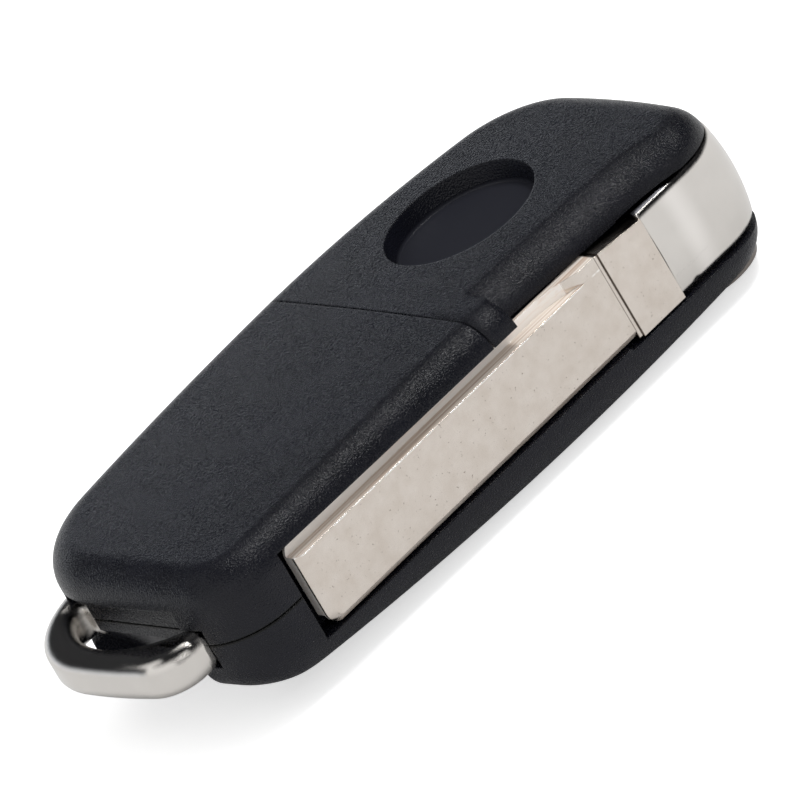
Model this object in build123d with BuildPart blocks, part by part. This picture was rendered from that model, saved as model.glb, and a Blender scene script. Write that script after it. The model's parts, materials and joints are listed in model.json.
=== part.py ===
"""Flip key shell, folded, lying on its button face."""
import math
import os

from build123d import *

os.makedirs("parts", exist_ok=True)

# Driving dimensions, in millimetres.
# X runs from the tail to the head, Y from the blade side to the far side, Z up to the back face.

# Shell outline
body_length = 69.8          # tail to the round end of the flip head
body_width = 32.4
head_proud = 0.7            # flip head beyond the end of the covers
far_peak_x = -14.0          # widest place of the far side, from the blade's shoulder
far_head_taper = 5.3        # how far the far side has come in at the head
far_tail_taper = 2.0        # and at the tail
near_tail_taper = 0.5
end_bulge = 0.8
head_slant = 0.8            # how far the far head corner is set back
near_head_radius = 6.2
far_head_radius = 10.5
near_tail_radius = 6.0
far_tail_radius = 11.0

# Shell section
front_depth = 4.1           # button face to the lower edge of the blade, at mid-length
front_tail_rise = 1.45      # rise of the button face where it starts to lift towards the tail
front_head_rise = 0.4       # and towards the head
tail_lift_length = 7.5
tail_lift = 4.5             # rise of the button face at the tail
head_lift_length = 9.0
head_lift = 1.7             # and at the head
back_rise = 3.2             # upper edge of the blade to the top of the back, at mid-length
back_tail_drop = 0.75       # top of the back at the tail, below its mid-length
back_head_rise = 0.1        # and at the head, above it
back_cross_crown = 0.42     # drop of the back at its near edge, across the shell
back_cross_peak = 3.6       # highest line of the back, from the middle towards the far side
back_edge_radius = 3.2
front_edge_radius = 3.2
wall = 1.6
front_floor = 2.6
ceiling_height = 5.15       # parting plane to the inside of the back
inner_wall = 1.2

# Covers
split_back = 13.1           # split line, behind the blade's shoulder
split_gap = 0.16
cover_gap = 0.2
badge_radius = 7.45
badge_depth = 1.9
badge_x = 0.45              # centre, ahead of the blade's shoulder
badge_y = 1.05
badge_taper = 14.0
facet_back = 9.9            # tail end of the finger facet, behind the shoulder
facet_length = 16.9         # its straight stretch, before it runs out
facet_inset = 2.3           # its depth at the tail end
facet_fade = 1.2            # how much shallower it is at the end of the straight stretch
facet_runout_x = 7.0
facet_runout_y = 2.1
facet_radius = 6.0
facet_angle = 60.0          # its slope at the lower edge
facet_blend = 12.0          # and where it meets the back
facet_reach = 8.0
tab_length = 4.6
tab_width = 3.0
tab_thick = 1.3
cover_seat = 0.12           # battery cover above the lower shell
catch_reach = 1.6           # catches of the battery cover, below the parting plane
catch_width = 4.0
catch_thick = 1.0
catch_spacing = 13.0
catch_back = 7.5            # first pair of catches, behind the split line

# Blade
blade_length = 40.7
blade_height = 8.9
blade_thick = 2.8
base_length = 6.0
base_drop = 0.3             # base below the blade's lower edge
base_slope = 0.5            # fall of its upper edge towards the flip head
groove_width = 0.45
groove_depth = 0.15
step_height = 1.25          # stepped edge of the blade
step_depth = 1.7
step_runout = 2.1           # where the step ends, behind the shoulder
cutter_radius = 9.4
tongue_length = 4.6
tongue_height = 5.2
tongue_thick = 1.8
tip_radius = 1.4
tip_bevel = 0.7
slot_gap = 1.3              # blade tip to the end of its slot
channel_gap = 0.25
channel_side_gap = 0.4

# Flip head
head_radius = 7.2
head_block = 6.8            # pivot to the joint with the blade's base
head_rise = 0.05            # flip head above the blade
head_crown = 0.55           # bulge of its outer face
block_depth = 5.0
lobe_radius = 1.8
rim_radius = 0.35
top_rim_radius = 0.8
pocket_gap = 0.3
bore_radius = 4.3
bore_fit = 0.08
counterbore_radius = 6.1
counterbore_depth = 1.7
keyway_width = 1.4
keyway_depth = 0.55
keyway_gap = 0.12
key_count = 3
pin_radius = 0.75
pin_bore = 0.35
pin_sink = 0.3
pin_cover = 1.2             # metal of the flip head above the blade's pin

# Release button and spring
button_proud = 0.1          # release button below the shell's mid-length
button_radius = 5.4
button_dome = 0.65
button_gap = 0.15
button_flange = 0.6
flange_gap = 0.06
hub_height = 4.4
hub_wall = 0.7
hub_floor = 1.4
wire_radius = 0.3
spring_turns = 5
spring_gap = 0.15
cap_flange_radius = 4.9
cap_flange = 0.8
cap_boss = 2.6
cap_flat = 4.2
cap_post = 2.3
cap_post_length = 1.8
cap_gap = 0.05

# Keypad
key_names = ("lock_button", "unlock_button", "trunk_button")
key_pitch = 13.2
key_length = 10.4
key_width = 13.4
key_corner = 3.2
key_gap = 0.3
key_sink = 0.1              # key faces inside the crowned face of the shell
key_flange = 0.7
key_lip = 0.6               # flange beyond the edge of its opening
key_edge = 0.6
first_key_x = -7.0          # key nearest the head, from the blade's shoulder
pad_thick = 0.8
pad_rim = 1.2
pad_room = 0.5

# Tray, contacts and chip pocket
tray_thick = 1.0
tray_reach = 7.0            # tray beyond the split line
tray_gap = 0.2
pillar = 2.2
cell_radius = 10.0
cell_gap = 0.3
cell_height = 3.2
cell_shift = 0.4
ring_wall = 1.1
contact_thick = 0.3
contact_width = 5.0
contact_length = 12.0
contact_rise = 0.7
chip_length = 8.0
chip_width = 4.6
chip_wall = 0.9
chip_back = 5.0
chip_gap = 1.2

# Key ring loop
loop_reach = 5.7            # loop beyond the tail
loop_near = 10.4            # its near side, from the shell's middle
loop_far = 12.7
loop_near_corner = 4.2
loop_far_corner = 10.2
loop_height = 3.9
loop_bar = 3.1              # width of its bar at the end
loop_bulge = 1.1            # outward bow of its end
loop_eye = 17.2             # width of its opening
loop_eye_y = 0.8            # middle of the opening, from the shell's middle towards the far side
loop_eye_x = 1.1            # arms start to close in this far behind the tail
loop_edge = 1.1
loop_drop = 0.4             # loop's middle below the parting plane
loop_foot = 1.2             # inward step of the arms' ends inside the shell
arm_depth = 7.4
loop_gap = 0.1

# Scoop in the tail that leaves room for a key ring
scoop_depth = 2.0
scoop_top = 3.6             # its upper end, above the parting plane
scoop_radius = 1.5
scoop_edge = 1.2            # its wall below the parting plane, before the ramp
ramp_length = 5.6

# Screws
screw_radius = 0.8
screw_ease = 0.05
screw_head_radius = 1.45
screw_head = 0.9
screw_sink = 0.1
screw_seat = 1.1            # seat of the loop's screws, above the bar's middle
screw_grip = 3.4
loop_screw_grip = 2.0
screw_edge = 2.2            # loop screw from the end of its arm
recess_radius = 0.55
recess_depth = 0.5
boss_wall = 0.8

# Places worked out from the sizes above.
x_head = (body_length + loop_reach) / 2
x_tail = x_head - body_length
x_cover = x_head - head_proud
middle_x = (x_head + x_tail) / 2
near_y = -body_width / 2
far_y = body_width / 2
pivot_x = x_head - head_radius
pivot_y = near_y + head_radius
joint_x = pivot_x - head_block
shoulder_x = joint_x - base_length
tip_x = shoulder_x - blade_length
slot_end_x = tip_x - slot_gap
split_x = shoulder_x - split_back
front_z = button_proud
low_z = front_z + front_depth
top_z = low_z + blade_height
back_z = top_z + back_rise
part_z = low_z + blade_height / 2
base_low_z = low_z - base_drop
head_top_z = top_z + head_rise
head_middle_z = (base_low_z + head_top_z) / 2
pocket_low_z = base_low_z - pocket_gap
pocket_top_z = head_top_z + pocket_gap
pocket_radius = math.hypot(head_radius, head_block) + pocket_gap
channel_depth = blade_thick + channel_side_gap
blade_y = near_y + blade_thick / 2
cavity_near_y = near_y + channel_depth + inner_wall
cavity_far_y = far_y - wall
cavity_tail_x = x_tail + arm_depth + inner_wall
cavity_low_z = front_z + front_floor
ceiling_z = part_z + ceiling_height
loop_near_y = -loop_near
loop_far_y = loop_far
eye_near_y = loop_eye_y - loop_eye / 2
eye_far_y = loop_eye_y + loop_eye / 2
arm_end_x = x_tail + arm_depth
foot_x = x_tail + scoop_depth + loop_gap
loop_z = part_z - loop_drop
loop_low_z = loop_z - loop_height / 2
loop_top_z = loop_z + loop_height / 2
pin_x = joint_x + tongue_length / 2
pin_depth = head_top_z - base_low_z - pin_cover
tray_z = part_z - tray_thick
pad_z = cavity_low_z + key_flange + pad_room
flange_length = key_length + 2 * (key_gap + key_lip)
flange_width = key_width + 2 * (key_gap + key_lip)
pad_length = (len(key_names) - 1) * key_pitch + flange_length + 2 * (key_gap + pad_rim)
pad_width = flange_width + 2 * (key_gap + pad_rim)
badge_floor_z = back_z - badge_depth
loop_screws_at = [
    (arm_end_x - screw_edge, (loop_near_y + eye_near_y + loop_foot) / 2),
    (arm_end_x - screw_edge, eye_far_y - loop_foot + (eye_near_y + loop_foot - loop_near_y) / 2),
]
head_screw_at = (split_x - tab_length / 2, cavity_near_y + cover_gap + tab_width / 2)
cell_at = ((cavity_tail_x + split_x) / 2 - cell_shift, (cavity_near_y + cavity_far_y) / 2 - cell_shift)
keys_at = [(shoulder_x + first_key_x - i * key_pitch, 0) for i in range(len(key_names))]
chip_at = (pivot_x - chip_back, pivot_y + pocket_radius + inner_wall + chip_gap + chip_width / 2)
hub_radius = bore_radius - bore_fit
hub_low_z = front_z + hub_floor
flange_z = pocket_low_z + flange_gap
boss_low_z = head_top_z + flange_gap - cap_boss
far = 100.0                 # reaches past the whole part

catches_at = [(split_x - catch_back - i * catch_spacing, 0) for i in range(2)]

pivot = Plane((pivot_x, pivot_y, 0))
pivot_axis = Axis((pivot_x, pivot_y, 0), (0, 0, 1))
pivot_section = Plane((pivot_x, pivot_y, 0), x_dir=(1, 0, 0), z_dir=(0, -1, 0))
blade_side = Plane((0, near_y, 0), x_dir=(1, 0, 0), z_dir=(0, -1, 0))

CORNER = (Align.MIN, Align.MIN)
UPWARD = (Align.CENTER, Align.CENTER, Align.MIN)
DOWNWARD = (Align.CENTER, Align.CENTER, Align.MAX)
UPSIDE = (Align.CENTER, Align.MIN)
TONGUE = (Align.MIN, Align.CENTER, Align.CENTER)


def body_outline(inset=0.0):
    """The shell seen from above, or its inside when inset."""
    tail_x = x_tail + inset
    cover_x = x_cover - inset
    low_y = near_y + inset
    high_y = far_y - inset
    near_tail = (tail_x + end_bulge, low_y + near_tail_taper)
    near_head = (cover_x - end_bulge, low_y)
    far_head = (cover_x - end_bulge - head_slant, high_y - far_head_taper)
    far_tail = (tail_x + end_bulge, high_y - far_tail_taper)
    with BuildSketch() as outline:
        with BuildLine():
            peak = (shoulder_x + far_peak_x, high_y)
            ThreePointArc(near_tail, (middle_x, low_y), near_head)
            head_middle = (cover_x - head_slant / 2, (near_head[1] + far_head[1]) / 2)
            ThreePointArc(near_head, head_middle, far_head)
            TangentArc(peak, far_head, tangent=(1, 0))
            TangentArc(peak, far_tail, tangent=(-1, 0))
            ThreePointArc(far_tail, (tail_x, (near_tail[1] + far_tail[1]) / 2), near_tail)
        make_face()
        corners = (
            (near_tail, near_tail_radius),
            (near_head, near_head_radius),
            (far_head, far_head_radius),
            (far_tail, far_tail_radius),
        )
        for corner, radius in corners:
            fillet(outline.vertices().sort_by_distance(Vector(*corner))[0], radius - inset)
    return outline.sketch


def above_front(lift=0.0):
    """Everything above the crowned button face, or above it raised by a lift."""
    with BuildPart() as space:
        with BuildSketch(Plane.XZ):
            with BuildLine():
                middle_arc = ThreePointArc(
                    (x_tail + tail_lift_length, front_z + front_tail_rise + lift),
                    (middle_x, front_z + lift),
                    (x_head - head_lift_length, front_z + front_head_rise + lift),
                )
                tail_end = (x_tail - end_bulge, front_z + tail_lift + lift)
                head_end = (x_head, front_z + head_lift + lift)
                TangentArc(middle_arc @ 0, tail_end, tangent=-(middle_arc % 0))
                TangentArc(middle_arc @ 1, head_end, tangent=middle_arc % 1)
                Polyline(head_end, (x_head, far), (x_tail - end_bulge, far), tail_end)
            make_face()
        extrude(amount=body_width, both=True)
    return space.part


def below_back():
    """Everything below the back face, which is crowned along its length and across it."""
    with BuildPart() as space:
        with BuildLine(Plane.XZ) as spine:
            ThreePointArc(
                (x_tail - end_bulge, back_z - back_tail_drop),
                (middle_x, back_z),
                (x_head, back_z + back_head_rise),
            )
        cross = back_cross_crown / (back_cross_peak - near_y) ** 2
        with BuildSketch(Plane(spine.line @ 0, x_dir=(0, 1, 0), z_dir=spine.line % 0)):
            with BuildLine():
                top_arc = ThreePointArc(
                    (back_cross_peak - body_width, -cross * body_width**2),
                    (back_cross_peak, 0),
                    (back_cross_peak + body_width, -cross * body_width**2),
                )
                Polyline(
                    top_arc @ 1,
                    (back_cross_peak + body_width, -2 * back_z),
                    (back_cross_peak - body_width, -2 * back_z),
                    top_arc @ 0,
                )
            make_face()
        sweep(path=spine.line)
    return space.part


# The outside of the closed shell: the outline, crowned on both faces and rounded at its rims.
with BuildPart() as blank:
    with BuildSketch():
        add(body_outline())
    extrude(amount=2 * back_z)
    add(above_front(), mode=Mode.INTERSECT)
    add(below_back(), mode=Mode.INTERSECT)
    fillet(blank.faces().sort_by(Axis.Z)[-1].edges(), back_edge_radius)
    fillet(blank.faces().sort_by(Axis.Z)[0].edges(), front_edge_radius)
    # Scoop in the tail with a ramp below it, open to the button face.
    scoop_x = x_tail + scoop_depth
    with BuildSketch(Plane.XZ.offset(-loop_eye_y)):
        with BuildLine():
            Polyline(
                (x_tail - end_bulge, part_z + scoop_top),
                (scoop_x, part_z + scoop_top),
                (scoop_x, part_z - scoop_edge),
                (scoop_x + ramp_length, 0),
                (x_tail - end_bulge, 0),
                close=True,
            )
        make_face()
        corner = Vector(scoop_x, part_z + scoop_top)
        fillet(vertices().sort_by_distance(corner)[0], scoop_radius)
    extrude(amount=loop_eye / 2 - loop_gap, both=True, mode=Mode.SUBTRACT)

# Everything that the flip head and the blade pass through as they turn.
with BuildPart() as blade_way:
    with BuildSketch(Plane.XY.offset(low_z - channel_gap)):
        with Locations((slot_end_x, near_y - 1)):
            Rectangle(pivot_x - slot_end_x, channel_depth + 1, align=CORNER)
    extrude(amount=blade_height + 2 * channel_gap)
    with BuildSketch(Plane.XY.offset(pocket_low_z)):
        with Locations((pivot_x, pivot_y)):
            Circle(pocket_radius)
        with Locations((pivot_x, near_y - 1)):
            Rectangle(far, 2 * head_radius + 1 + pocket_gap, align=CORNER)
    extrude(amount=pocket_top_z - pocket_low_z)
    # The blade's base hangs lower than the blade.
    with BuildSketch(Plane.XY.offset(base_low_z - channel_gap)):
        with Locations((shoulder_x - slot_gap, near_y - 1)):
            Rectangle(pivot_x - shoulder_x + slot_gap, channel_depth + 1, align=CORNER)
    extrude(amount=part_z - base_low_z)


def cavity_outline(gap=0.0):
    """The room inside the shell, beside the blade and behind the flip head's pocket."""
    with BuildSketch() as cavity:
        add(body_outline(wall + gap))
        with Locations((0, cavity_near_y + gap)):
            Rectangle(far * 2, far, align=(Align.CENTER, Align.MAX), mode=Mode.SUBTRACT)
        with Locations((cavity_tail_x + gap, 0)):
            Rectangle(far, far * 2, align=(Align.MAX, Align.CENTER), mode=Mode.SUBTRACT)
        with Locations((pivot_x, pivot_y)):
            Circle(pocket_radius + inner_wall + gap, mode=Mode.SUBTRACT)
    return cavity.sketch


def loop_plan():
    """The key ring loop seen from above: two arms with feet, a bowed end and a round eye."""
    end_x = x_tail - loop_reach
    near_end = (end_x + loop_bulge, loop_near_y)
    far_end = (end_x + loop_bulge, loop_far_y)
    with BuildSketch() as plan:
        with BuildLine():
            far_arm = Polyline(
                far_end,
                (arm_end_x, loop_far_y),
                (arm_end_x, eye_far_y - loop_foot),
                (foot_x, eye_far_y - loop_foot),
                (foot_x, eye_far_y),
                (x_tail + loop_eye_x, eye_far_y),
            )
            eye = ThreePointArc(
                far_arm @ 1,
                (end_x + loop_bar, loop_eye_y),
                (x_tail + loop_eye_x, eye_near_y),
            )
            Polyline(
                eye @ 1,
                (foot_x, eye_near_y),
                (foot_x, eye_near_y + loop_foot),
                (arm_end_x, eye_near_y + loop_foot),
                (arm_end_x, loop_near_y),
                near_end,
            )
            ThreePointArc(near_end, (end_x, (loop_near_y + loop_far_y) / 2), far_end)
        make_face()
        fillet(plan.vertices().sort_by_distance(Vector(*near_end))[0], loop_near_corner)
        fillet(plan.vertices().sort_by_distance(Vector(*far_end))[0], loop_far_corner)
    return plan.sketch


def arm_grooves():
    """Room in the shell for the arms of the loop and their feet."""
    outside_x = x_tail - loop_reach
    length = arm_end_x + loop_gap - outside_x
    with BuildPart() as room:
        with BuildSketch(Plane.XY.offset(loop_low_z - loop_gap)):
            with Locations((outside_x, loop_near_y - loop_gap)):
                Rectangle(length, eye_near_y - loop_near_y + 2 * loop_gap, align=CORNER)
            with Locations((outside_x, eye_far_y - loop_gap)):
                Rectangle(length, loop_far_y - eye_far_y + 2 * loop_gap, align=CORNER)
            with Locations((x_tail, loop_near_y), (x_tail, eye_far_y - loop_foot - loop_gap)):
                Rectangle(
                    arm_depth + loop_gap,
                    eye_near_y + loop_foot + loop_gap - loop_near_y,
                    align=CORNER,
                )
        extrude(amount=loop_height + 2 * loop_gap)
    return room.part


# Lower shell, with the keypad openings and the hole for the release button.
with BuildPart() as front_housing:
    add(blank.part)
    split(bisect_by=Plane.XY.offset(part_z), keep=Keep.BOTTOM)
    add(blade_way.part, mode=Mode.SUBTRACT)
    with BuildSketch(Plane.XY.offset(cavity_low_z)):
        add(cavity_outline())
    extrude(amount=far, mode=Mode.SUBTRACT)
    with BuildSketch():
        with Locations(*keys_at):
            RectangleRounded(key_length + 2 * key_gap, key_width + 2 * key_gap, key_corner + key_gap)
        with Locations((pivot_x, pivot_y)):
            Circle(button_radius + button_gap)
    extrude(amount=low_z, mode=Mode.SUBTRACT)
    add(arm_grooves(), mode=Mode.SUBTRACT)
    # Boss for the head cover's screw.
    with BuildSketch(Plane.XY.offset(cavity_low_z)):
        with Locations(head_screw_at):
            Circle(screw_radius + boss_wall)
    extrude(amount=part_z - cavity_low_z)
    # Pillars that carry the tray.
    with BuildSketch(Plane.XY.offset(cavity_low_z)):
        with Locations((cavity_tail_x, -pad_width / 2 - tray_gap)):
            Rectangle(pillar, pillar, align=(Align.MIN, Align.MAX))
        with Locations((cavity_tail_x, pad_width / 2 + tray_gap)):
            Rectangle(pillar, pillar, align=CORNER)
    extrude(amount=tray_z - cavity_low_z)
    # Walls of the chip pocket.
    with BuildSketch(Plane.XY.offset(cavity_low_z)):
        with Locations(chip_at):
            Rectangle(chip_length + 2 * chip_wall, chip_width + 2 * chip_wall)
            Rectangle(chip_length, chip_width, mode=Mode.SUBTRACT)
    extrude(amount=part_z - cavity_low_z - chip_wall)
    # Screw holes.
    with Locations((*head_screw_at, part_z)):
        Cylinder(screw_radius + screw_ease, screw_grip, align=DOWNWARD, mode=Mode.SUBTRACT)
    with Locations(*[(x, y, loop_low_z) for x, y in loop_screws_at]):
        Cylinder(screw_radius + screw_ease, loop_screw_grip, align=DOWNWARD, mode=Mode.SUBTRACT)
front_housing.part.label = "front_housing"
export_step(front_housing.part, "parts/front_housing.step")

# The back half of the shell, hollowed, before it is split in two covers.
with BuildPart() as upper_shell:
    add(blank.part)
    split(bisect_by=Plane.XY.offset(part_z), keep=Keep.TOP)
    add(blade_way.part, mode=Mode.SUBTRACT)
    with BuildSketch(Plane.XY.offset(part_z)):
        add(cavity_outline())
    extrude(amount=ceiling_z - part_z, mode=Mode.SUBTRACT)
    add(arm_grooves(), mode=Mode.SUBTRACT)

# Finger facet beside the blade: a rounded slope that follows its lower edge and runs out at the head.
with BuildPart() as facet_cut:
    facet_start = Vector(shoulder_x - facet_back, near_y + facet_inset, top_z + channel_gap)
    facet_turn = facet_start + Vector(facet_length, -facet_fade)
    with BuildLine() as lower_edge:
        straight = Line(facet_start, facet_turn)
        TangentArc(facet_turn, facet_turn + Vector(facet_runout_x, -facet_runout_y), tangent=straight % 1)
    along = straight % 0
    with BuildSketch(Plane(straight @ 0, x_dir=(-along.Y, along.X, 0), z_dir=along)):
        with BuildLine():
            slope = JernArc((0, 0), polar(1, facet_angle), facet_radius, facet_blend - facet_angle)
            rise = Line(slope @ 1, slope @ 1 + facet_reach * (slope % 1))
            Polyline(
                rise @ 1,
                (rise @ 1) + Vector(0, facet_reach),
                (-facet_reach, (rise @ 1).Y + facet_reach),
                (-facet_reach, -blade_height),
                (0, -blade_height),
                (0, 0),
            )
        make_face()
    sweep(path=lower_edge.wires()[0])

# Head cover, with the bare badge recess and the finger facet.
with BuildPart() as head_back_cover:
    add(upper_shell.part)
    split(bisect_by=Plane.YZ.offset(split_x + split_gap / 2), keep=Keep.TOP)
    add(facet_cut.part, mode=Mode.SUBTRACT)
    # Badge recess with a drafted wall and a flat floor.
    draft = badge_depth * math.tan(math.radians(badge_taper))
    with BuildSketch(Plane.XY.offset(badge_floor_z)):
        with Locations((shoulder_x + badge_x, badge_y)):
            Circle(badge_radius - draft)
    extrude(amount=2 * badge_depth, taper=-badge_taper, mode=Mode.SUBTRACT)
    # Seat of the pivot cap, with two flats that keep it from turning.
    with BuildSketch(Plane.XY.offset(pocket_top_z)):
        with Locations((pivot_x, pivot_y)):
            Circle(cap_flange_radius)
            Rectangle(2 * cap_flat, 2 * cap_flange_radius, mode=Mode.INTERSECT)
    extrude(amount=cap_flange, mode=Mode.SUBTRACT)
    # Tab that reaches under the battery cover to its screw.
    with BuildSketch(Plane.XY.offset(part_z)):
        with Locations((split_x - tab_length, cavity_near_y + cover_gap)):
            Rectangle(tab_length * 2, tab_width, align=CORNER)
        with Locations((split_x + cover_gap, cavity_near_y - cover_gap)):
            Rectangle(tab_length - cover_gap, tab_width, align=CORNER)
    extrude(amount=tab_thick)
    with Locations((*head_screw_at, part_z)):
        Cylinder(screw_radius + screw_ease, tab_thick, align=UPWARD, mode=Mode.SUBTRACT)
head_back_cover.part.label = "head_back_cover"
export_step(head_back_cover.part, "parts/head_back_cover.step")

# Battery cover, with two pairs of catches that slip down inside the lower shell.
with BuildPart() as battery_cover:
    add(upper_shell.part)
    split(bisect_by=Plane.YZ.offset(split_x - split_gap / 2), keep=Keep.BOTTOM)
    split(bisect_by=Plane.XY.offset(part_z + cover_seat), keep=Keep.TOP)
    with BuildSketch(Plane.XY.offset(part_z + cover_seat)):
        with Locations(*catches_at):
            Rectangle(catch_width, far)
        add(cavity_outline(), mode=Mode.INTERSECT)
        add(cavity_outline(cover_gap + catch_thick), mode=Mode.SUBTRACT)
    extrude(amount=ceiling_z - part_z)
    with BuildSketch(Plane.XY.offset(part_z - catch_reach)):
        with Locations(*catches_at):
            Rectangle(catch_width, far)
        add(cavity_outline(cover_gap), mode=Mode.INTERSECT)
        add(cavity_outline(cover_gap + catch_thick), mode=Mode.SUBTRACT)
    extrude(amount=2 * catch_reach)
battery_cover.part.label = "battery_cover"
export_step(battery_cover.part, "parts/battery_cover.step")


def crowned_profile():
    """Half section of the flip head: straight inside, crowned outside, with rounded rims."""
    with BuildSketch() as section:
        with BuildLine():
            outer = ThreePointArc(
                (head_radius - head_crown, base_low_z),
                (head_radius, head_middle_z),
                (head_radius - head_crown, head_top_z),
            )
            Polyline(outer @ 1, (0, head_top_z), (0, base_low_z), outer @ 0)
        make_face()
        rims = section.vertices().filter_by(lambda corner: corner.X > wall)
        fillet(rims.sort_by(Axis.Y)[0], rim_radius)
        fillet(section.vertices().sort_by_distance(Vector(head_radius, head_top_z))[0], top_rim_radius)
    return section.sketch


# Flip head: a disc about the pivot, a block that takes the blade and a lobe that closes the end.
with BuildPart() as flip_head:
    with BuildSketch(pivot_section):
        add(crowned_profile())
    revolve(axis=pivot_axis)
    with BuildSketch(Plane((pivot_x, pivot_y, 0), x_dir=(0, -1, 0), z_dir=(-1, 0, 0))):
        add(crowned_profile())
    extrude(amount=head_block)
    with BuildSketch(pivot_section):
        add(crowned_profile())
    extrude(amount=pocket_gap - head_radius)
    with BuildSketch(pivot.offset(base_low_z)):
        Circle(head_radius)
        with Locations((-head_block, -head_radius)):
            Rectangle(head_block, block_depth, align=CORNER)
        lobe = Rectangle(head_radius, head_radius, align=CORNER)
        fillet(lobe.vertices().sort_by_distance(Vector(head_radius, head_radius))[0], lobe_radius)
    extrude(amount=head_top_z - base_low_z, mode=Mode.INTERSECT)
    # Bore for the button's hub and the pivot cap, with a step below for the button's flange.
    with BuildSketch(pivot.offset(base_low_z)):
        Circle(bore_radius)
        with PolarLocations(bore_radius, key_count, start_angle=90):
            Rectangle(2 * keyway_depth, keyway_width)
    extrude(amount=far, mode=Mode.SUBTRACT)
    with BuildSketch(pivot.offset(base_low_z)):
        Circle(counterbore_radius)
    extrude(amount=counterbore_depth, mode=Mode.SUBTRACT)
    # Slot for the blade's tongue and the hole of its pin.
    with Locations((joint_x, blade_y, head_middle_z)):
        Box(tongue_length, tongue_thick, tongue_height, align=TONGUE, mode=Mode.SUBTRACT)
    with Locations((pin_x, blade_y, base_low_z)):
        Cylinder(pin_radius, pin_depth, align=UPWARD, mode=Mode.SUBTRACT)
flip_head.part.label = "flip_head"
export_step(flip_head.part, "parts/flip_head.step")

# Cutter path of the blade's stepped edge, which runs out before the shoulder.
with BuildPart() as edge_cut:
    runout_end = shoulder_x - step_runout
    runout_start = runout_end - math.sqrt(2 * cutter_radius * step_depth - step_depth**2)
    with BuildSketch(Plane.XY.offset(top_z - step_height)):
        with BuildLine():
            inner_edge = Line((tip_x - 1, near_y + step_depth), (runout_start, near_y + step_depth))
            runout = TangentArc(inner_edge @ 1, (runout_end, near_y), tangent=(1, 0))
            Polyline(runout @ 1, (runout_end, near_y - 1), (tip_x - 1, near_y - 1), inner_edge @ 0)
        make_face()
    extrude(amount=step_height + 1)

# Key blade: an uncut blank with its base, shoulder groove and tongue.
with BuildPart() as key_blade:
    with BuildSketch(blade_side):
        with Locations((tip_x, low_z)):
            blank_side = Rectangle(shoulder_x - tip_x, blade_height, align=CORNER)
        fillet(blank_side.vertices().group_by(Axis.X)[0], tip_radius)
        with BuildLine():
            Polyline(
                (shoulder_x, base_low_z),
                (joint_x, base_low_z),
                (joint_x, top_z - base_slope),
                (shoulder_x, top_z),
                close=True,
            )
        make_face()
    extrude(amount=-blade_thick)
    add(edge_cut.part, mode=Mode.SUBTRACT)
    turned_cut = edge_cut.part.rotate(Axis((0, blade_y, part_z), (1, 0, 0)), 180)
    add(turned_cut, mode=Mode.SUBTRACT)
    chamfer(key_blade.edges().filter_by(Axis.Z).group_by(Axis.X)[0], tip_bevel)
    # Shallow groove all round at the shoulder.
    with BuildSketch(Plane.YZ.offset(shoulder_x)):
        with Locations((blade_y, (base_low_z + top_z) / 2)):
            Rectangle(far, far)
            Rectangle(
                blade_thick - 2 * groove_depth,
                top_z - base_low_z - 2 * groove_depth,
                mode=Mode.SUBTRACT,
            )
    extrude(amount=groove_width, mode=Mode.SUBTRACT)
    with Locations((joint_x, blade_y, head_middle_z)):
        Box(tongue_length, tongue_thick, tongue_height, align=TONGUE)
    with Locations((pin_x, blade_y, base_low_z)):
        Cylinder(pin_radius, far, align=UPWARD, mode=Mode.SUBTRACT)
key_blade.part.label = "key_blade"
export_step(key_blade.part, "parts/key_blade.step")

# Rolled pin that holds the blade's tongue.
with BuildPart() as blade_pin:
    with Locations((pin_x, blade_y, base_low_z + pin_sink)):
        Cylinder(pin_radius, pin_depth - 2 * pin_sink, align=UPWARD)
        Cylinder(pin_bore, far, align=UPWARD, mode=Mode.SUBTRACT)
blade_pin.part.label = "blade_pin"
export_step(blade_pin.part, "parts/blade_pin.step")

# Release button: domed face, flange that stops it and a keyed hub that turns with the flip head.
with BuildPart() as release_button:
    with BuildSketch(pivot_section):
        with BuildLine():
            dome = TangentArc((0, 0), (button_radius, button_dome), tangent=(1, 0))
            Polyline(
                dome @ 1,
                (button_radius, flange_z),
                (counterbore_radius - keyway_gap, flange_z),
                (counterbore_radius - keyway_gap, flange_z + button_flange),
                (hub_radius, flange_z + button_flange),
                (hub_radius, flange_z + hub_height),
                (hub_radius - hub_wall, flange_z + hub_height),
                (hub_radius - hub_wall, hub_low_z),
                (0, hub_low_z),
                (0, 0),
            )
        make_face()
    revolve(axis=pivot_axis)
    with BuildSketch(pivot.offset(flange_z + button_flange)):
        with PolarLocations(bore_radius, key_count, start_angle=90):
            Rectangle(2 * (keyway_depth - keyway_gap), keyway_width - 2 * keyway_gap)
        Circle(hub_radius - hub_wall / 2, mode=Mode.SUBTRACT)
    extrude(amount=hub_height - button_flange)
release_button.part.label = "release_button"
export_step(release_button.part, "parts/release_button.step")

# Spring that returns the button and turns the flip head out.
with BuildPart() as flip_spring:
    spring_low_z = hub_low_z + wire_radius + flange_gap
    spring_height = boss_low_z - wire_radius - flange_gap - spring_low_z
    with BuildLine():
        coil = Helix(
            spring_height / spring_turns,
            spring_height,
            hub_radius - hub_wall - spring_gap - wire_radius,
            center=(pivot_x, pivot_y, spring_low_z),
        )
    with BuildSketch(Plane(coil @ 0, z_dir=coil % 0)):
        Circle(wire_radius)
    sweep(is_frenet=True)
flip_spring.part.label = "flip_spring"
export_step(flip_spring.part, "parts/flip_spring.step")

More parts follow.
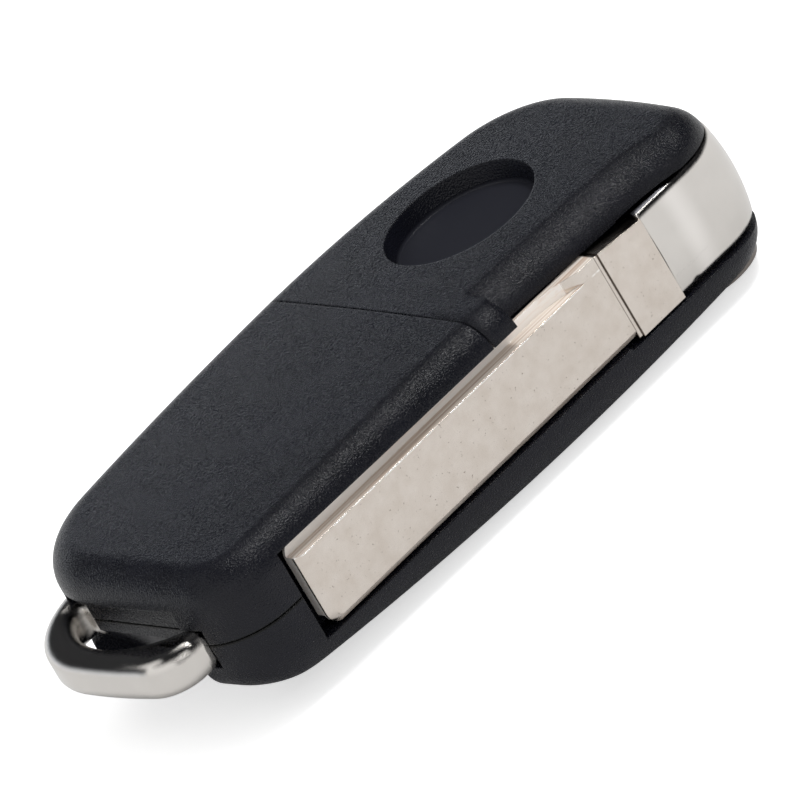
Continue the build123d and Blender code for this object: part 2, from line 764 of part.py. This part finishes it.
# Pivot cap: keyed in the head cover, with the boss that the flip head turns on.
with BuildPart() as pivot_cap:
    with BuildSketch(pivot.offset(head_top_z + flange_gap)):
        Circle(cap_flange_radius - cap_gap)
        Rectangle(2 * (cap_flat - cap_gap), 2 * cap_flange_radius, mode=Mode.INTERSECT)
    extrude(amount=pocket_top_z + cap_flange - head_top_z - flange_gap)
    with BuildSketch(pivot.offset(boss_low_z)):
        Circle(hub_radius)
    extrude(amount=cap_boss)
    with BuildSketch(pivot.offset(boss_low_z)):
        Circle(cap_post)
    extrude(amount=-cap_post_length)
pivot_cap.part.label = "pivot_cap"
export_step(pivot_cap.part, "parts/pivot_cap.step")

# Keypad buttons, each a rounded cap that follows the shell's face, with a flange inside.
for name, place in zip(key_names, keys_at):
    with BuildPart() as key:
        with BuildSketch():
            with Locations(place):
                RectangleRounded(key_length, key_width, key_corner)
        extrude(amount=cavity_low_z + flange_gap)
        add(above_front(key_sink), mode=Mode.INTERSECT)
        fillet(key.faces().sort_by(Axis.Z)[0].edges(), key_edge)
        with BuildSketch(Plane.XY.offset(cavity_low_z + flange_gap)):
            with Locations(place):
                RectangleRounded(flange_length, flange_width, key_corner + key_lip)
        extrude(amount=key_flange - flange_gap)
    key.part.label = name
    export_step(key.part, f"parts/{name}.step")

# Rubber pad over the backs of the buttons, on a rim that stands on the shell's floor.
with BuildPart() as button_pad:
    with BuildSketch(Plane.XY.offset(cavity_low_z)):
        with Locations(keys_at[1]):
            RectangleRounded(pad_length, pad_width, key_corner)
        with Locations((pivot_x, pivot_y)):
            Circle(pocket_radius + inner_wall + tray_gap, mode=Mode.SUBTRACT)
        with Locations(head_screw_at):
            Circle(screw_radius + boss_wall + tray_gap, mode=Mode.SUBTRACT)
        with Locations(chip_at):
            Rectangle(
                chip_length + 2 * (chip_wall + tray_gap),
                chip_width + 2 * (chip_wall + tray_gap),
                mode=Mode.SUBTRACT,
            )
        add(cavity_outline(tray_gap), mode=Mode.INTERSECT)
    extrude(amount=pad_z + pad_thick - cavity_low_z)
    with BuildSketch(Plane.XY.offset(cavity_low_z)):
        with Locations(keys_at[1]):
            RectangleRounded(pad_length - 2 * pad_rim, pad_width - 2 * pad_rim, key_corner + key_lip)
    extrude(amount=pad_z - cavity_low_z, mode=Mode.SUBTRACT)
button_pad.part.label = "button_pad"
export_step(button_pad.part, "parts/button_pad.step")

# Inner tray with the ring that holds the coin cell.
with BuildPart() as inner_tray:
    with BuildSketch(Plane.XY.offset(tray_z)):
        # The tray's edge steps in beside the catches.
        add(cavity_outline(tray_gap))
        with Locations(*catches_at):
            Rectangle(catch_width + 2 * tray_gap, far, mode=Mode.SUBTRACT)
        add(cavity_outline(cover_gap + catch_thick + tray_gap))
        with Locations((split_x + tray_reach, 0)):
            Rectangle(far, far, align=(Align.MAX, Align.CENTER), mode=Mode.INTERSECT)
        with Locations(head_screw_at):
            Circle(screw_radius + boss_wall + tray_gap, mode=Mode.SUBTRACT)
    extrude(amount=tray_thick)
    with BuildSketch(Plane.XY.offset(part_z)):
        with Locations(cell_at):
            Circle(cell_radius + cell_gap + ring_wall)
            Circle(cell_radius + cell_gap, mode=Mode.SUBTRACT)
            with Locations((0, cell_radius)):
                Rectangle(
                    contact_width + 2 * tray_gap, 2 * ring_wall + cell_gap, align=UPSIDE, mode=Mode.SUBTRACT
                )
    extrude(amount=cell_height)
inner_tray.part.label = "inner_tray"
export_step(inner_tray.part, "parts/inner_tray.step")

# Contact that rises against the cell's side and reaches over it.
with BuildPart() as battery_contact_positive:
    leg_y = cell_at[1] + cell_radius + cell_gap
    with BuildSketch(Plane.YZ.offset(cell_at[0] - contact_width / 2)):
        with BuildLine():
            Polyline(
                (leg_y, part_z),
                (leg_y + contact_thick, part_z),
                (leg_y + contact_thick, part_z + cell_height + contact_thick),
                (leg_y - ring_wall, part_z + cell_height + contact_thick),
                (leg_y - ring_wall, part_z + cell_height),
                (leg_y, part_z + cell_height),
                close=True,
            )
        make_face()
    extrude(amount=contact_width)
battery_contact_positive.part.label = "battery_contact_positive"
export_step(battery_contact_positive.part, "parts/battery_contact_positive.step")

# Contact leaf under the cell, bowed up in its middle.
with BuildPart() as battery_contact_negative:
    leaf_x = cell_at[0]
    with BuildSketch(Plane.XZ.offset(-cell_at[1] - contact_width / 2)):
        with BuildLine():
            low_bow = Spline(
                (leaf_x - contact_length / 2, part_z),
                (leaf_x, part_z + contact_rise),
                (leaf_x + contact_length / 2, part_z),
                tangents=((1, 0), (1, 0)),
            )
            high_bow = Spline(
                (leaf_x - contact_length / 2, part_z + contact_thick),
                (leaf_x, part_z + contact_rise + contact_thick),
                (leaf_x + contact_length / 2, part_z + contact_thick),
                tangents=((1, 0), (1, 0)),
            )
            Line(low_bow @ 0, high_bow @ 0)
            Line(low_bow @ 1, high_bow @ 1)
        make_face()
    extrude(amount=contact_width)
battery_contact_negative.part.label = "battery_contact_negative"
export_step(battery_contact_negative.part, "parts/battery_contact_negative.step")

# Lid of the chip pocket, with a plug that sits in it.
with BuildPart() as transponder_cover:
    with BuildSketch(Plane.XY.offset(part_z - chip_wall)):
        with Locations(chip_at):
            Rectangle(chip_length + 2 * chip_wall, chip_width + 2 * chip_wall)
        add(cavity_outline(tray_gap), mode=Mode.INTERSECT)
    extrude(amount=chip_wall)
    with BuildSketch(Plane.XY.offset(part_z - chip_wall)):
        with Locations(chip_at):
            Rectangle(chip_length - 2 * cap_gap, chip_width - 2 * cap_gap)
        add(cavity_outline(tray_gap), mode=Mode.INTERSECT)
    extrude(amount=-chip_wall)
transponder_cover.part.label = "transponder_cover"
export_step(transponder_cover.part, "parts/transponder_cover.step")

# Key ring loop, its arms drilled for the two screws.
with BuildPart() as key_ring_loop:
    with BuildSketch(Plane.XY.offset(loop_low_z)):
        add(loop_plan())
    extrude(amount=loop_height)
    fillet(key_ring_loop.faces().sort_by(Axis.Z)[-1].edges(), loop_edge)
    fillet(key_ring_loop.faces().sort_by(Axis.Z)[0].edges(), loop_edge)
    with Locations(*[(x, y, loop_top_z) for x, y in loop_screws_at]):
        Cylinder(screw_radius + screw_ease, loop_height, align=DOWNWARD, mode=Mode.SUBTRACT)
        Cylinder(
            screw_head_radius + screw_ease, loop_top_z - loop_z - screw_seat, align=DOWNWARD, mode=Mode.SUBTRACT
        )
key_ring_loop.part.label = "key_ring_loop"
export_step(key_ring_loop.part, "parts/key_ring_loop.step")


def screw(places, seat_z, end_z):
    """Pan head screws with a round recess, seated at one height and ending at another."""
    with BuildPart() as screws:
        with Locations(*[(x, y, seat_z) for x, y in places]):
            Cylinder(screw_head_radius, screw_head, align=UPWARD)
            Cylinder(screw_radius, seat_z - end_z, align=DOWNWARD)
        with Locations(*[(x, y, seat_z + screw_head) for x, y in places]):
            Cylinder(recess_radius, recess_depth, align=DOWNWARD, mode=Mode.SUBTRACT)
    return screws.part


tail_screws = screw(loop_screws_at, loop_z + screw_seat, loop_low_z - loop_screw_grip + screw_sink)
tail_screws.label = "tail_screws"
export_step(tail_screws, "parts/tail_screws.step")

head_cover_screw = screw([head_screw_at], part_z + tab_thick, part_z - screw_grip + screw_sink)
head_cover_screw.label = "head_cover_screw"
export_step(head_cover_screw, "parts/head_cover_screw.step")
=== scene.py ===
"""Looks of the flip key shell: materials, floor, soft studio light and camera."""
import json
import math

import bpy
from mathutils import Matrix, Vector

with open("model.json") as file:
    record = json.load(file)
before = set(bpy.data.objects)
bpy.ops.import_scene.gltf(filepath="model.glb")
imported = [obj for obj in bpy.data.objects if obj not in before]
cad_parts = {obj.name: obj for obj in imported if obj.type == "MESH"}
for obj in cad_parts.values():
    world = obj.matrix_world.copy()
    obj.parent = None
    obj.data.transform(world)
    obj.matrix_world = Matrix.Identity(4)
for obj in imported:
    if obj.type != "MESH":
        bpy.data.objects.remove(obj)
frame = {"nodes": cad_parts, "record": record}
nodes = frame["nodes"]
mounts = {mount["name"]: mount["pos_m"] for mount in frame["record"]["mounts"]}
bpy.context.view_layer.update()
scene = bpy.context.scene
MM = 0.001

# Places on the key, as in the CAD source.
seat_x, seat_y, seat_z = mounts["badge_seat"]
seat_radius = 7.15 * MM         # floor of the badge's recess, its edge included
parting_z = mounts["blade_blank"][2]
near_side_y = -8.0 * MM         # the head cover's grip starts to round off here
blade_y = -16.2 * MM            # wide face of the blade
shoulder_x = 17.75 * MM         # groove between the blade and its base
step_z = 11.85 * MM             # floor of the step along the blade's upper edge
joint_x = 23.75 * MM            # where the base meets the flip head
head_top_z = 13.15 * MM         # top of the flip head


# Node helpers. A tree's sockets are passed on, so that each helper reads as one step.


def rgb(r, g, b):
    """Linear colour from 0-255 display values."""
    out = []
    for v in (r, g, b):
        c = v / 255
        out.append(c / 12.92 if c <= 0.04045 else ((c + 0.055) / 1.055) ** 2.4)
    return (*out, 1.0)


def new_material(name):
    m = bpy.data.materials.new(name)
    m.use_nodes = True
    m.node_tree.nodes.clear()
    out = m.node_tree.nodes.new("ShaderNodeOutputMaterial")
    bsdf = m.node_tree.nodes.new("ShaderNodeBsdfPrincipled")
    m.node_tree.links.new(bsdf.outputs[0], out.inputs[0])
    return m, m.node_tree, bsdf


def coords(tree):
    return tree.nodes.new("ShaderNodeTexCoord").outputs["Object"]


def noise(tree, where, scale, detail=2.0, rough=0.5):
    n = tree.nodes.new("ShaderNodeTexNoise")
    n.inputs["Scale"].default_value = scale
    n.inputs["Detail"].default_value = detail
    n.inputs["Roughness"].default_value = rough
    tree.links.new(where, n.inputs["Vector"])
    return n.outputs["Fac"]


def stretch(tree, where, scale):
    """Coordinates scaled per axis, for streaks."""
    n = tree.nodes.new("ShaderNodeMapping")
    n.inputs["Scale"].default_value = scale
    tree.links.new(where, n.inputs["Vector"])
    return n.outputs["Vector"]


def ramp(tree, value, low, high, out_low=0.0, out_high=1.0, smooth=False):
    n = tree.nodes.new("ShaderNodeMapRange")
    if smooth:
        n.interpolation_type = "SMOOTHSTEP"
    n.inputs["From Min"].default_value = low
    n.inputs["From Max"].default_value = high
    n.inputs["To Min"].default_value = out_low
    n.inputs["To Max"].default_value = out_high
    tree.links.new(value, n.inputs["Value"])
    return n.outputs["Result"]


def math_node(tree, operation, a, b=None):
    n = tree.nodes.new("ShaderNodeMath")
    n.operation = operation
    for i, v in enumerate((a, b)):
        if v is None:
            continue
        if isinstance(v, (int, float)):
            n.inputs[i].default_value = v
        else:
            tree.links.new(v, n.inputs[i])
    return n.outputs[0]


def times(tree, a, b):
    return math_node(tree, "MULTIPLY", a, b)


def larger(tree, a, b):
    return math_node(tree, "MAXIMUM", a, b)


def between(tree, value, low, high, soft=0.03 * MM):
    """1 where the value lies between two limits, 0 elsewhere."""
    return times(tree, ramp(tree, value, low - soft, low + soft),
                 ramp(tree, value, high - soft, high + soft, 1.0, 0.0))


def mix_color(tree, fac, a, b):
    n = tree.nodes.new("ShaderNodeMix")
    n.data_type = "RGBA"
    tree.links.new(fac, n.inputs["Factor"])
    for socket, v in ((n.inputs[6], a), (n.inputs[7], b)):
        if isinstance(v, tuple):
            socket.default_value = v
        else:
            tree.links.new(v, socket)
    return n.outputs[2]


def mix_vector(tree, fac, a, b):
    n = tree.nodes.new("ShaderNodeMix")
    n.data_type = "VECTOR"
    tree.links.new(fac, n.inputs["Factor"])
    tree.links.new(a, n.inputs[4])
    tree.links.new(b, n.inputs[5])
    return n.outputs[1]


def soft_edges(tree, radius):
    """Shading normal with the edges rounded over a small radius."""
    n = tree.nodes.new("ShaderNodeBevel")
    n.samples = 6
    n.inputs["Radius"].default_value = radius
    return n.outputs["Normal"]


def bump(tree, height, distance, normal):
    n = tree.nodes.new("ShaderNodeBump")
    n.inputs["Distance"].default_value = distance
    tree.links.new(height, n.inputs["Height"])
    tree.links.new(normal, n.inputs["Normal"])
    return n.outputs["Normal"]


def axes(tree, where):
    n = tree.nodes.new("ShaderNodeSeparateXYZ")
    tree.links.new(where, n.inputs[0])
    return n.outputs[0], n.outputs[1], n.outputs[2]


# Materials. Noise scales are per metre, so 6500 is a grain of about 0.15 mm.


def plastic(name, dark, light, roughness, grain, depth, edge=0.12 * MM, seam_shaded=False, with_seat=False):
    """Spark-grained moulded plastic.

    A piece with a shaded seam has a painted shadow along its parting plane: a near-black line standing in
    for the shade in the gap between the halves. One with the badge's seat has it smooth, its floor painted
    lighter as a stand-in for the sheen the grain around it catches, and rounds off more softly on its near
    side.
    """
    tone_scale = 160.0
    seam_shade_full, seam_shade_end = 0.14 * MM, 0.22 * MM
    m, t, b = new_material(name)
    where = coords(t)
    x, y, z = axes(t, where)
    height = noise(t, where, grain, 1.0)
    color = mix_color(t, ramp(t, noise(t, where, tone_scale, 3.0), 0.35, 0.65), dark, light)
    # Painted shadow: a near-black line along the parting plane stands in for the shade in the gap between
    # the halves.
    if seam_shaded:
        off = math_node(t, "ABSOLUTE", math_node(t, "SUBTRACT", z, parting_z))
        color = mix_color(t, ramp(t, off, seam_shade_full, seam_shade_end), (0.001, 0.001, 0.001, 1), color)
    rounded = soft_edges(t, edge)
    if with_seat:
        dx = math_node(t, "SUBTRACT", x, seat_x)
        dy = math_node(t, "SUBTRACT", y, seat_y)
        far = math_node(t, "SQRT", math_node(t, "ADD", times(t, dx, dx), times(t, dy, dy)))
        outside = ramp(t, far, seat_radius - 0.1 * MM, seat_radius + 0.1 * MM)
        above = ramp(t, z, seat_z + 0.2 * MM, seat_z + 0.4 * MM)
        grained = larger(t, outside, above)
        height = times(t, height, grained)
        # Painted sheen: the smooth floor of the seat gets a lighter tone, standing in for the sheen the
        # grain around it catches.
        color = mix_color(t, grained, rgb(40, 41, 48), color)
        near = ramp(t, y, near_side_y, near_side_y - 1 * MM)
        rounded = mix_vector(t, near, rounded, soft_edges(t, 1.8 * MM))
    t.links.new(color, b.inputs["Base Color"])
    t.links.new(ramp(t, height, 0.3, 0.7, roughness + 0.1, roughness - 0.04), b.inputs["Roughness"])
    t.links.new(bump(t, height, depth, rounded), b.inputs["Normal"])
    b.inputs["Specular IOR Level"].default_value = 0.25
    return m


def metal(name, color, roughness, edge=0.08 * MM, ripple=0.002 * MM, mottle=0.04):
    """Plated or rolled metal with faint tone changes."""
    tone_scale, ripple_scale = 420.0, 2600.0
    m, t, b = new_material(name)
    b.inputs["Metallic"].default_value = 1.0
    where = coords(t)
    tone = noise(t, where, tone_scale, 3.0, 0.55)
    light = tuple(min(1.0, c * (1 + mottle)) for c in color[:3]) + (1.0,)
    dark = tuple(c * (1 - mottle) for c in color[:3]) + (1.0,)
    t.links.new(mix_color(t, ramp(t, tone, 0.35, 0.65), dark, light), b.inputs["Base Color"])
    fine = noise(t, where, ripple_scale)
    t.links.new(ramp(t, fine, 0.3, 0.7, roughness * 0.85, roughness * 1.15), b.inputs["Roughness"])
    t.links.new(bump(t, fine, ripple, soft_edges(t, edge)), b.inputs["Normal"])
    return m


def blade_material(name):
    """Nickel silver: mottled wide faces, a milled step with brown streaks, a painted highlight along the
    step's crest and painted shade lines at the edges of the shoulder groove.
    """
    blotch_scale, speck_scale = 500.0, 3800.0
    highlight_break_scale = (900.0, 100.0, 100.0)     # breaks in the painted highlight along the crest of the step
    streak_scale = (45.0, 3400.0, 3400.0)   # milling marks along the blade
    m, t, b = new_material(name)
    where = coords(t)
    x, y, z = axes(t, where)
    normal = t.nodes.new("ShaderNodeNewGeometry").outputs["True Normal"]
    level = ramp(t, math_node(t, "ABSOLUTE", axes(t, normal)[2]), 0.5, 0.8)
    upright = math_node(t, "SUBTRACT", 1.0, level)
    behind = ramp(t, x, shoulder_x - 0.2 * MM, shoulder_x + 0.2 * MM, 1.0, 0.0)
    step_wall = times(t, between(t, y, blade_y + 0.9 * MM, blade_y + 2 * MM), times(t, behind, upright))
    cut = larger(t, times(t, level, behind), step_wall)
    t.links.new(ramp(t, cut, 0.0, 1.0, 1.0, 0.1), b.inputs["Metallic"])

    blotch = noise(t, where, blotch_scale, 5.0, 0.62)
    wide = mix_color(t, ramp(t, blotch, 0.3, 0.72), rgb(208, 198, 188), rgb(223, 215, 207))
    specks = ramp(t, noise(t, where, speck_scale, 1.0), 0.72, 0.8)
    wide = mix_color(t, specks, wide, rgb(150, 138, 128))
    # Painted highlight: a broken near-white line along the crest of the step on the wide face, standing in
    # for the edge's glint.
    highlight_breaks = ramp(t, noise(t, stretch(t, where, highlight_break_scale), 1.0), 0.42, 0.5)
    crest_highlight = times(t, between(t, z, step_z - 0.12 * MM, step_z + 0.02 * MM), highlight_breaks)
    wide = mix_color(t, times(t, crest_highlight, behind), wide, rgb(250, 248, 245))
    # Painted shade: two dark lines along the edges of the shoulder groove.
    groove_shade = larger(t, between(t, x, shoulder_x - 0.06 * MM, shoulder_x + 0.06 * MM),
                    between(t, x, shoulder_x + 0.39 * MM, shoulder_x + 0.52 * MM))
    wide = mix_color(t, groove_shade, wide, rgb(112, 102, 94))

    streaks = noise(t, stretch(t, where, streak_scale), 1.0, 3.0, 0.55)
    floor_tone = mix_color(t, ramp(t, streaks, 0.4, 0.62), rgb(255, 246, 236), rgb(214, 190, 172))
    wall_tone = mix_color(t, ramp(t, streaks, 0.5, 0.7), rgb(255, 250, 244), rgb(246, 232, 220))
    edge = mix_color(t, step_wall, floor_tone, wall_tone)
    t.links.new(mix_color(t, cut, wide, edge), b.inputs["Base Color"])
    t.links.new(ramp(t, blotch, 0.3, 0.7, 0.16, 0.26), b.inputs["Roughness"])
    t.links.new(bump(t, blotch, 0.008 * MM, soft_edges(t, 0.1 * MM)), b.inputs["Normal"])
    return m


def head_chrome(name):
    """Polished chrome with soft edges, a dark joint line, a painted highlight band near the bend and
    painted shade on the top rim below the cover.
    """
    tone_scale, ripple_scale = 300.0, 2600.0
    highlight_start, highlight_middle, highlight_end = (joint_x + d * MM for d in (2.2, 4.0, 6.2))
    m, t, b = new_material(name)
    b.inputs["Metallic"].default_value = 1.0
    where = coords(t)
    x, y, z = axes(t, where)
    tone = noise(t, where, tone_scale, 3.0)
    color = mix_color(t, ramp(t, tone, 0.35, 0.65), rgb(212, 208, 203), rgb(217, 213, 208))
    # Painted highlight: a lighter band across the chrome past the joint, standing in for the light
    # reflected at the bend.
    bend_highlight = times(t, ramp(t, x, highlight_start, highlight_middle, 0.0, 1.0, True),
                 ramp(t, x, highlight_middle, highlight_end, 1.0, 0.0, True))
    color = mix_color(t, times(t, bend_highlight, 0.7), color, rgb(240, 236, 232))
    joint = between(t, x, joint_x - 1 * MM, joint_x + 0.08 * MM)
    color = mix_color(t, joint, color, rgb(60, 56, 52))
    # Painted shade: the top rim below the cover is darkened, standing in for the shade under the cover and
    # the cover's dark reflection in the rim.
    rim_shade = ramp(t, z, head_top_z - 0.3 * MM, head_top_z - 0.2 * MM)
    color = mix_color(t, rim_shade, color, rgb(40, 40, 42))
    t.links.new(color, b.inputs["Base Color"])
    fine = noise(t, where, ripple_scale)
    t.links.new(ramp(t, fine, 0.3, 0.7, 0.05, 0.07), b.inputs["Roughness"])
    t.links.new(bump(t, fine, 0.0012 * MM, soft_edges(t, 0.6 * MM)), b.inputs["Normal"])
    return m


black_look = (rgb(16, 17, 24), rgb(20, 21, 29), 0.23, 6500.0, 0.08 * MM)
black = plastic("black grain plastic", *black_look, 0.25 * MM, seam_shaded=True)
head_black = plastic("head cover plastic", *black_look, 0.22 * MM, seam_shaded=True, with_seat=True)
key_black = plastic("keypad plastic", rgb(56, 57, 60), rgb(60, 61, 64), 0.5, 7000.0, 0.01 * MM)
tray = plastic("tray plastic", rgb(98, 98, 100), rgb(104, 104, 106), 0.5, 4000.0, 0.01 * MM)
pad = plastic("pad rubber", rgb(50, 50, 52), rgb(54, 54, 56), 0.7, 3000.0, 0.01 * MM)
chrome = head_chrome("polished chrome")
loop_chrome = metal("loop chrome", rgb(212, 208, 203), 0.035, 1.3 * MM, 0.0015 * MM, 0.015)
button_metal = metal("release button metal", rgb(128, 122, 117), 0.18)
blade_metal = blade_material("nickel silver")
steel = metal("plain steel", rgb(185, 185, 186), 0.3)
spring_metal = metal("spring steel", rgb(150, 150, 152), 0.35)
contact = metal("contact metal", rgb(214, 210, 200), 0.25)
screw_metal = metal("screw steel", rgb(120, 120, 122), 0.35)

materials = {
    "head_back_cover": head_black,
    "battery_cover": black,
    "front_housing": black,
    "flip_head": chrome,
    "key_blade": blade_metal,
    "blade_pin": steel,
    "release_button": button_metal,
    "flip_spring": spring_metal,
    "pivot_cap": steel,
    "lock_button": key_black,
    "unlock_button": key_black,
    "trunk_button": key_black,
    "button_pad": pad,
    "inner_tray": tray,
    "battery_contact_positive": contact,
    "battery_contact_negative": contact,
    "transponder_cover": tray,
    "key_ring_loop": loop_chrome,
    "tail_screws": screw_metal,
    "head_cover_screw": screw_metal,
}
for name, material in materials.items():
    for place in nodes[name].material_slots:
        place.material = material

# Camera, fitted to the photograph.
azimuth = math.radians(-29.2)
elevation = math.radians(24.8)
roll = math.radians(30.7)
px_per_mm = 11.46
frame_px = 800
anchor = Vector((17.75, -16.2, 13.1)) * MM      # shoulder's top outer corner
anchor_px = (593.3, 257.3)
distance = 3.0                                  # long lens: from further, the other views clip

right = Vector((math.cos(azimuth), math.sin(azimuth), 0))
forward = Vector((
    -math.sin(azimuth) * math.cos(elevation),
    math.cos(azimuth) * math.cos(elevation),
    -math.sin(elevation),
))
up = right.cross(forward)
across = math.cos(roll) * right - math.sin(roll) * up
upward = math.sin(roll) * right + math.cos(roll) * up
aim = anchor + across * ((frame_px / 2 - anchor_px[0]) / px_per_mm * MM)
aim += upward * ((anchor_px[1] - frame_px / 2) / px_per_mm * MM)

cam_data = bpy.data.cameras.new("camera")
cam = bpy.data.objects.new("camera", cam_data)
scene.collection.objects.link(cam)
turn = Matrix((across, upward, -forward)).transposed().to_4x4()
cam.matrix_world = Matrix.Translation(aim - forward * distance) @ turn
cam_data.sensor_width = 36.0
cam_data.lens = cam_data.sensor_width * distance / (frame_px / px_per_mm * MM)
cam_data.clip_start = 0.01
cam_data.clip_end = 30.0
scene.camera = cam


def add_staged(name, points, faces, material):
    mesh = bpy.data.meshes.new(name)
    mesh.from_pydata(points, [], faces)
    mesh.materials.append(material)
    obj = bpy.data.objects.new(name, mesh)
    scene.collection.objects.link(obj)
    return obj


# White floor just below the key: a little light of its own for the camera keeps the shadow soft.
floor_reach = 1.5
floor_z = -0.4 * MM
floor_glow = 0.6
floor_material, t, b = new_material("floor")
b.inputs["Base Color"].default_value = (0.9, 0.9, 0.9, 1)
b.inputs["Roughness"].default_value = 0.9
b.inputs["Emission Color"].default_value = (1, 1, 1, 1)
path = t.nodes.new("ShaderNodeLightPath")
t.links.new(times(t, path.outputs["Is Camera Ray"], floor_glow), b.inputs["Emission Strength"])
corners = [(sx * floor_reach, sy * floor_reach, floor_z) for sx, sy in ((-1, -1), (1, -1), (1, 1), (-1, 1))]
add_staged("floor", corners, [(0, 1, 2, 3)], floor_material)

# Dark studio room, seen only in reflections: a dome that is open on the tail's side, with a soft light
# low on its far wall.
turns, rings, dome_radius, horizon = 72, 20, 1.3, 2.0
opening_from, opening_to, opening_top = 160, 240, 45
points, faces = [], []
for k in range(rings + 1):
    el = math.radians(horizon + (90 - horizon) * k / rings)
    for i in range(turns):
        a = 2 * math.pi * i / turns
        points.append([dome_radius * v for v in
                       (math.cos(a) * math.cos(el), math.sin(a) * math.cos(el), math.sin(el))])
for k in range(rings):
    el = horizon + (90 - horizon) * (k + 0.5) / rings
    for i in range(turns):
        az = 360 * (i + 0.5) / turns
        if opening_from < az < opening_to and el < opening_top:
            continue
        j = (i + 1) % turns
        faces.append((k * turns + i, k * turns + j, (k + 1) * turns + j, (k + 1) * turns + i))
room_material, t, b = new_material("dark room")
b.inputs["Base Color"].default_value = (0.02, 0.02, 0.022, 1)
b.inputs["Roughness"].default_value = 1.0
b.inputs["Emission Color"].default_value = (0.88, 0.93, 1.0, 1)
x, y, z = axes(t, coords(t))
far_wall = times(t, ramp(t, y, -0.7, 1.2, 0.0, 1.0, True), ramp(t, x, 1.0, 0.6, 0.0, 1.0, True))
low_wall = ramp(t, z, 0.04, 0.36, 1.7, 0.02, True)
t.links.new(times(t, far_wall, low_wall), b.inputs["Emission Strength"])
dome = add_staged("dark_room", points, faces, room_material)
dome.visible_camera = False
dome.visible_diffuse = False
dome.visible_transmission = False
dome.visible_shadow = False

# World: white for the camera and for reflections, a plain level for the light.
world_light = 0.5
world = bpy.data.worlds.new("world")
scene.world = world
world.use_nodes = True
t = world.node_tree
background = t.nodes["Background"]
background.inputs["Color"].default_value = (1, 1, 1, 1)
path = t.nodes.new("ShaderNodeLightPath")
seen = larger(t, path.outputs["Is Camera Ray"], path.outputs["Is Glossy Ray"])
seen = larger(t, seen, path.outputs["Is Transmission Ray"])
t.links.new(ramp(t, seen, 0.0, 1.0, world_light, 1.0), background.inputs["Strength"])

# Lamps: name, place, size and power in watts. The small one gives the grain its sparkle.
lamps = (
    ("key", (-0.35, 0.3, 0.7), (0.6, 0.5), 0.8),
    ("top", (0.42, 0.05, 0.82), (0.9, 0.3), 1.4),
    ("sparkle", (0.41, -0.16, 0.8), (0.2, 0.16), 2.2),
    ("front", (-0.1, -0.75, 0.45), (0.5, 0.3), 0.9),
)
lit_point = Vector((0, 0, 0.008))
for name, place, size, power in lamps:
    data = bpy.data.lights.new(name, "AREA")
    data.shape = "RECTANGLE"
    data.size, data.size_y = size
    data.energy = power
    lamp = bpy.data.objects.new(name, data)
    scene.collection.objects.link(lamp)
    lamp.location = place
    lamp.rotation_euler = (lit_point - Vector(place)).to_track_quat("-Z", "Y").to_euler()

scene.view_settings.view_transform = "Standard"
